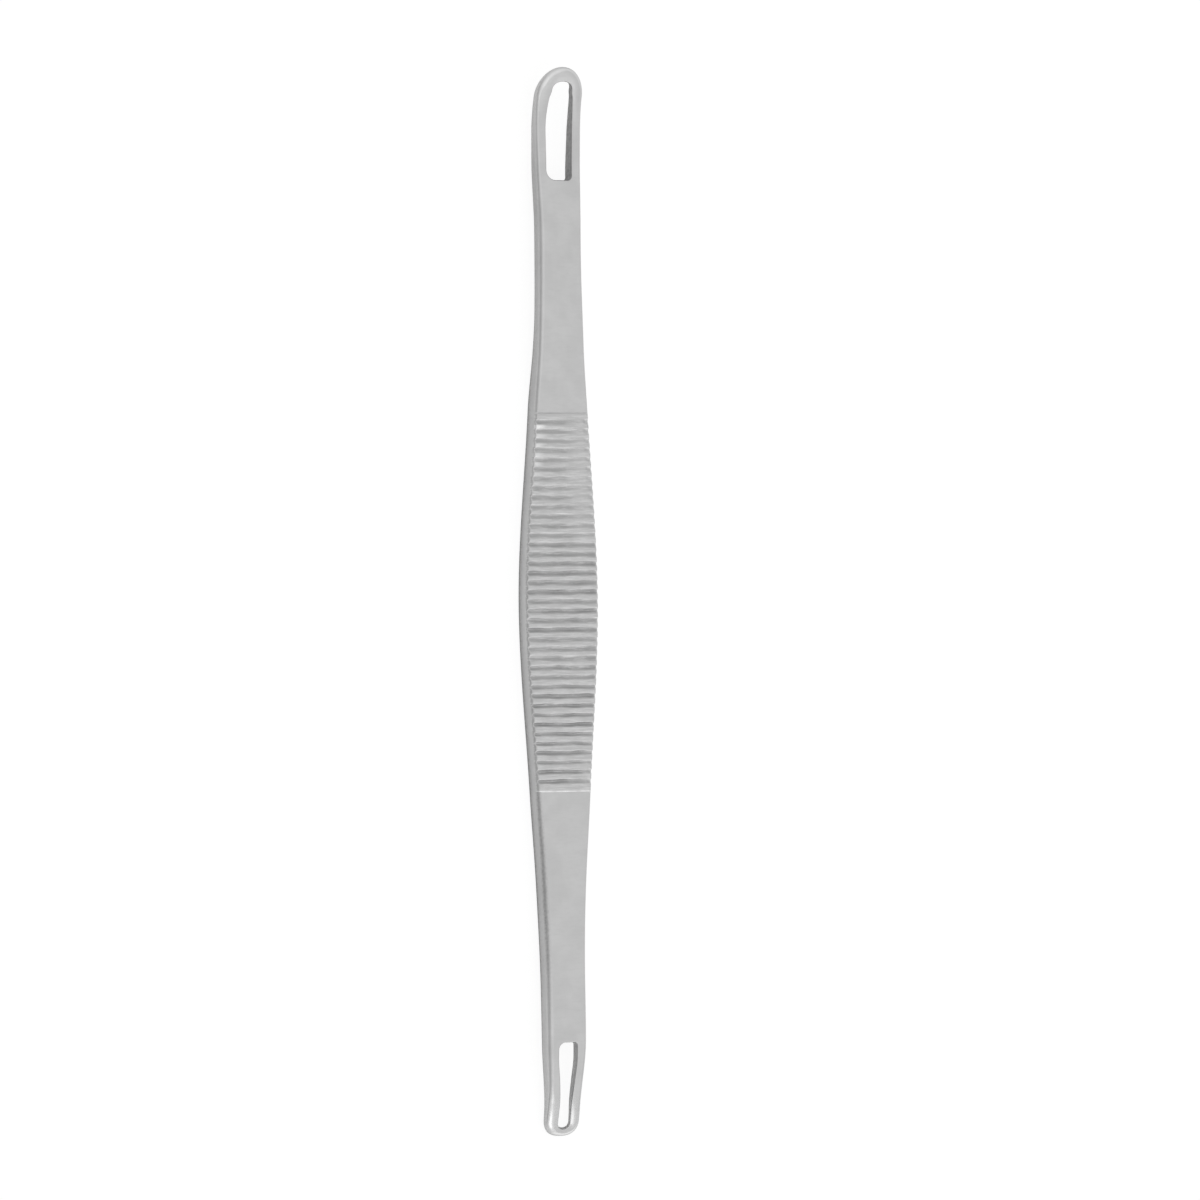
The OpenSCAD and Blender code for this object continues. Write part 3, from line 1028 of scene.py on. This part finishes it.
def satin_steel():
    material = bpy.data.materials.new("satin_steel")
    material.use_nodes = True
    n = Nodes(material.node_tree)
    place = n.new("ShaderNodeTexCoord").outputs["Object"]
    wear_and_highlight = n.attribute("wear_and_painted_highlight")
    painted_shade = n.attribute("painted_shade")
    cloud = n.noise(place, (1, 1, 1), CLOUD_SCALE, 3)
    blotch = n.noise(place, (1, 3.5, 1), BLOTCH_SCALE, 2)
    streak = n.noise(place, (9, 0.5, 9), STREAK_SCALE, 3, 0.6)
    grain = n.noise(place, (1, 1, 1), GRAIN_SCALE, 2, 0.6)

    # The ridged pad's face, filed crosswise by hand
    parts = n.new("ShaderNodeSeparateXYZ")
    n.link(place, parts.inputs["Vector"])
    away = n.math("ABSOLUTE", parts.outputs["Y"])
    length = n.remap(away, PAD_END - PAD_MASK_END, PAD_END, 1.0, 0.0)
    height = n.remap(parts.outputs["Z"], GRIP_T - PAD_MASK_LOW, GRIP_T - PAD_MASK_HIGH, 0.0, 1.0)
    pad = n.times(length, height)
    fine = n.noise(place, (0.3, 3.2, 1), FINE_SCALE, 3, 0.7)
    coarse = n.noise(place, (0.12, 2.5, 1), COARSE_SCALE, 2, 0.5)
    filed = n.add(n.times(fine, FINE_SHARE), n.times(coarse, COARSE_SHARE))

    # Colour: plain grey steel, a little darker in cloudy patches, with painted shade in the grooves, on
    # the slot and side walls, along the back edges and as a dark line at the left front edge, and lighter
    # with rubbing and painted highlights on edges and crests
    tone = n.remap(cloud, 0.3, 0.7, 0.0, 1.0)
    base = n.mix(tone, grey(STEEL_DARK), grey(STEEL_LIGHT))
    base = n.mix(n.times(n.remap(blotch, 0.42, 0.75, 0.0, 1.0), BLOTCH_SHARE), base, grey(STEEL_BLOTCH))
    # Painted shade, mottled: in the grooves, on the walls, along the back edges and as a dark line at the
    # left front edge
    mottled_shade = n.remap(n.noise(place, (1, 1, 1), SHADE_MOTTLE_SCALE, 3, 0.6), 0.4, 0.66, SHADE_MOTTLE_LEAST, SHADE_MOTTLE_MOST)
    ground = n.remap(filed, 0.38, 0.62, GROUND_LEAST, 1.0)
    shade = n.add(n.times(pad, ground), n.times(n.less(1.0, pad), mottled_shade))
    base = n.mix(n.times(painted_shade, shade), base, grey(PAINTED_SHADE_GREY))
    dark_filed = n.remap(filed, 0.42, 0.62, 0.0, FILED_DARK_MOST)
    base = n.mix(n.times(pad, dark_filed), base, grey(FILED_DARK))
    light_filed = n.remap(filed, 0.38, 0.5, FILED_LIGHT_MOST, 0.0)
    base = n.mix(n.times(pad, light_filed), base, grey(FILED_LIGHT))
    # Rubbed edges and crests, lighter with painted highlights
    base = n.mix(wear_and_highlight, base, grey(STEEL_WORN_AND_HIGHLIGHT))

    # Roughness: satin, matt on the large loop, smoother at the small tip and where edges are rubbed
    matt = n.remap(parts.outputs["Y"], LARGE_SLOT_IN, LARGE_ROUND, 0.0, LARGE_LOOP_MATT)
    smooth = n.remap(parts.outputs["Y"], SMALL_WAIST, SMALL_SLOT_MID, SMALL_TIP_SMOOTH, 0.0)
    rough = n.remap(streak, 0.3, 0.7, ROUGH_LEAST, ROUGH_MOST)
    rough = n.add(rough, n.less(matt, smooth))
    rough = n.add(rough, n.times(painted_shade, SUNK_ROUGHER))
    rough = n.less(rough, n.times(wear_and_highlight, WORN_SMOOTHER))

    # Bump: fine blasted grain over faint lengthwise brushing
    bump = n.new("ShaderNodeBump")
    bump.inputs["Distance"].default_value = GRAIN_HEIGHT
    n.link(n.less(GRAIN_STRENGTH, n.times(smooth, GRAIN_SMOOTHED)), bump.inputs["Strength"])
    brushed = n.add(n.times(grain, GRAIN_SHARE), n.times(streak, STREAK_SHARE))
    n.link(brushed, bump.inputs["Height"])
    filing = n.new("ShaderNodeBump")
    filing.inputs["Distance"].default_value = FILING_HEIGHT
    n.link(n.times(pad, FILING_STRENGTH), filing.inputs["Strength"])
    n.link(filed, filing.inputs["Height"])
    n.link(bump.outputs["Normal"], filing.inputs["Normal"])

    shader = n.new("ShaderNodeBsdfPrincipled")
    shader.inputs["Metallic"].default_value = 1.0
    n.link(base, shader.inputs["Base Color"])
    n.link(rough, shader.inputs["Roughness"])
    n.link(filing.outputs["Normal"], shader.inputs["Normal"])
    output = n.new("ShaderNodeOutputMaterial")
    n.link(shader.outputs["BSDF"], output.inputs["Surface"])
    return material


steel = satin_steel()
for piece in pieces:
    piece.data.materials.append(steel)


# Floor, light and camera

FLOOR_SIZE = 3.0
FLOOR_GAP = 0.03 * MM
FLOOR_ROUGHNESS = 0.9
FLOOR_GLOSS = 0.1
FLOOR_SCALE = 30
PHOTO_SIZE = 1200
PIXELS_PER_MM = 8.224
VIEW_TILT = math.radians(28)
VIEW_LEAN = math.radians(0.487)
CENTRE_COLUMN = 562.7
CENTRE_ROW = 602.0
LENS = 300
SENSOR = 36
CLIP = 20
FLOOR_DARK = 0.9
FLOOR_LIGHT = 0.91
FLOOR_SELF_LIT = 0.85
FLOOR_GLOW = 1.06
FLOOR_FAINT_GLOW = 0.1
TENT_LEVEL = 0.9
TENT_LEAST = 0.02
# Brighter and dimmer parts of the tent: direction, degrees at full and at no strength, strength
LOBES = (
    ((0.02, -0.555, 0.832), 3, 12, 1.55),
    ((0.45, -0.87, 0.2), 10, 32, 0.4),
    ((-0.88, -0.05, 0.45), 8, 42, -0.4),
    ((0.4, 0.9, 0.15), 15, 45, -0.25),
    ((0.93, 0.0, 0.36), 8, 35, -0.15),
)


def floor():
    material = bpy.data.materials.new("pale_floor")
    material.use_nodes = True
    n = Nodes(material.node_tree)
    place = n.new("ShaderNodeTexCoord").outputs["Object"]
    mottle = n.noise(place, (1, 1, 1), FLOOR_SCALE, 2)
    shader = n.new("ShaderNodeBsdfPrincipled")
    shader.inputs["Roughness"].default_value = FLOOR_ROUGHNESS
    shader.inputs["Specular IOR Level"].default_value = FLOOR_GLOSS
    n.link(n.mix(mottle, grey(FLOOR_DARK), grey(FLOOR_LIGHT)), shader.inputs["Base Color"])
    # Seen directly it is mostly self-lit white, so that shadows stay faint; the steel sees it plain
    glow = n.new("ShaderNodeEmission")
    glow.inputs["Strength"].default_value = FLOOR_GLOW
    faint = n.new("ShaderNodeEmission")
    faint.inputs["Strength"].default_value = FLOOR_FAINT_GLOW
    plain = n.new("ShaderNodeBsdfDiffuse")
    plain.inputs["Color"].default_value = grey(FLOOR_DARK)
    seen = n.new("ShaderNodeMixShader")
    seen.inputs["Fac"].default_value = FLOOR_SELF_LIT
    n.link(shader.outputs["BSDF"], seen.inputs[1])
    n.link(glow.outputs["Emission"], seen.inputs[2])
    both = n.new("ShaderNodeMixShader")
    n.link(n.new("ShaderNodeLightPath").outputs["Is Camera Ray"], both.inputs["Fac"])
    under = n.new("ShaderNodeAddShader")
    n.link(plain.outputs["BSDF"], under.inputs[0])
    n.link(faint.outputs["Emission"], under.inputs[1])
    n.link(under.outputs["Shader"], both.inputs[1])
    n.link(seen.outputs["Shader"], both.inputs[2])
    # From below it is clear
    clear = n.new("ShaderNodeBsdfTransparent")
    sided = n.new("ShaderNodeMixShader")
    n.link(n.new("ShaderNodeNewGeometry").outputs["Backfacing"], sided.inputs["Fac"])
    n.link(both.outputs["Shader"], sided.inputs[1])
    n.link(clear.outputs["BSDF"], sided.inputs[2])
    output = n.new("ShaderNodeOutputMaterial")
    n.link(sided.outputs["Shader"], output.inputs["Surface"])
    mesh = bpy.data.meshes.new("pale_floor")
    reach = FLOOR_SIZE / 2
    corners = [(-reach, -reach, 0), (reach, -reach, 0), (reach, reach, 0), (-reach, reach, 0)]
    mesh.from_pydata(corners, [], [(0, 1, 2, 3)])
    plane = bpy.data.objects.new("pale_floor", mesh)
    plane.location = (0, 0, -FLOOR_GAP)
    mesh.materials.append(material)
    bpy.context.scene.collection.objects.link(plane)


def studio():
    """A white tent: bright from the small loop's side, dimmer low down on the left."""
    world = bpy.data.worlds.new("studio")
    bpy.context.scene.world = world
    world.use_nodes = True
    n = Nodes(world.node_tree)
    toward = n.new("ShaderNodeTexCoord").outputs["Generated"]

    def lobe(direction, near, far, strength):
        dot = n.new("ShaderNodeVectorMath", operation="DOT_PRODUCT")
        n.link(toward, dot.inputs[0])
        dot.inputs[1].default_value = Vector(direction).normalized()
        none_at, full_at = math.cos(math.radians(far)), math.cos(math.radians(near))
        return n.remap(dot.outputs["Value"], none_at, full_at, 0.0, strength)

    light = TENT_LEVEL
    for row in LOBES:
        light = n.add(light, lobe(*row))
    light = n.math("MAXIMUM", light, TENT_LEAST)
    shown = n.new("ShaderNodeBackground")
    shown.inputs["Color"].default_value = grey(1)
    shown.inputs["Strength"].default_value = 1.0
    lit = n.new("ShaderNodeBackground")
    lit.inputs["Color"].default_value = grey(1)
    n.link(light, lit.inputs["Strength"])
    both = n.new("ShaderNodeMixShader")
    n.link(n.new("ShaderNodeLightPath").outputs["Is Camera Ray"], both.inputs["Fac"])
    n.link(lit.outputs["Background"], both.inputs[1])
    n.link(shown.outputs["Background"], both.inputs[2])
    output = n.new("ShaderNodeOutputWorld")
    n.link(both.outputs["Shader"], output.inputs["Surface"])


def camera():
    """Looks down on the ridged front from the left, as the photograph does."""
    back = Vector((-math.sin(VIEW_TILT), 0, math.cos(VIEW_TILT)))
    right = Vector((math.cos(VIEW_TILT), 0, math.sin(VIEW_TILT)))
    up = Vector((0, 1, 0))
    turned_up = up * math.cos(VIEW_LEAN) + right * math.sin(VIEW_LEAN)
    turned_right = right * math.cos(VIEW_LEAN) - up * math.sin(VIEW_LEAN)
    frame_width = PHOTO_SIZE / PIXELS_PER_MM * MM
    aside = (PHOTO_SIZE / 2 - CENTRE_COLUMN) / PIXELS_PER_MM * MM
    aim = Vector((0, 0, FRONT_Z)) + turned_right * aside
    aim += turned_up * ((CENTRE_ROW - PHOTO_SIZE / 2) / PIXELS_PER_MM * MM)
    data = bpy.data.cameras.new("camera")
    data.lens = LENS
    data.sensor_width = SENSOR
    distance = frame_width * LENS / SENSOR
    data.clip_start = distance / CLIP
    data.clip_end = distance * CLIP
    view = bpy.data.objects.new("camera", data)
    axes = Matrix((turned_right, turned_up, back)).transposed().to_4x4()
    view.matrix_world = Matrix.Translation(aim + back * distance) @ axes
    bpy.context.scene.collection.objects.link(view)
    bpy.context.scene.camera = view


floor()
studio()
camera()
bpy.context.scene.view_settings.view_transform = "Standard"
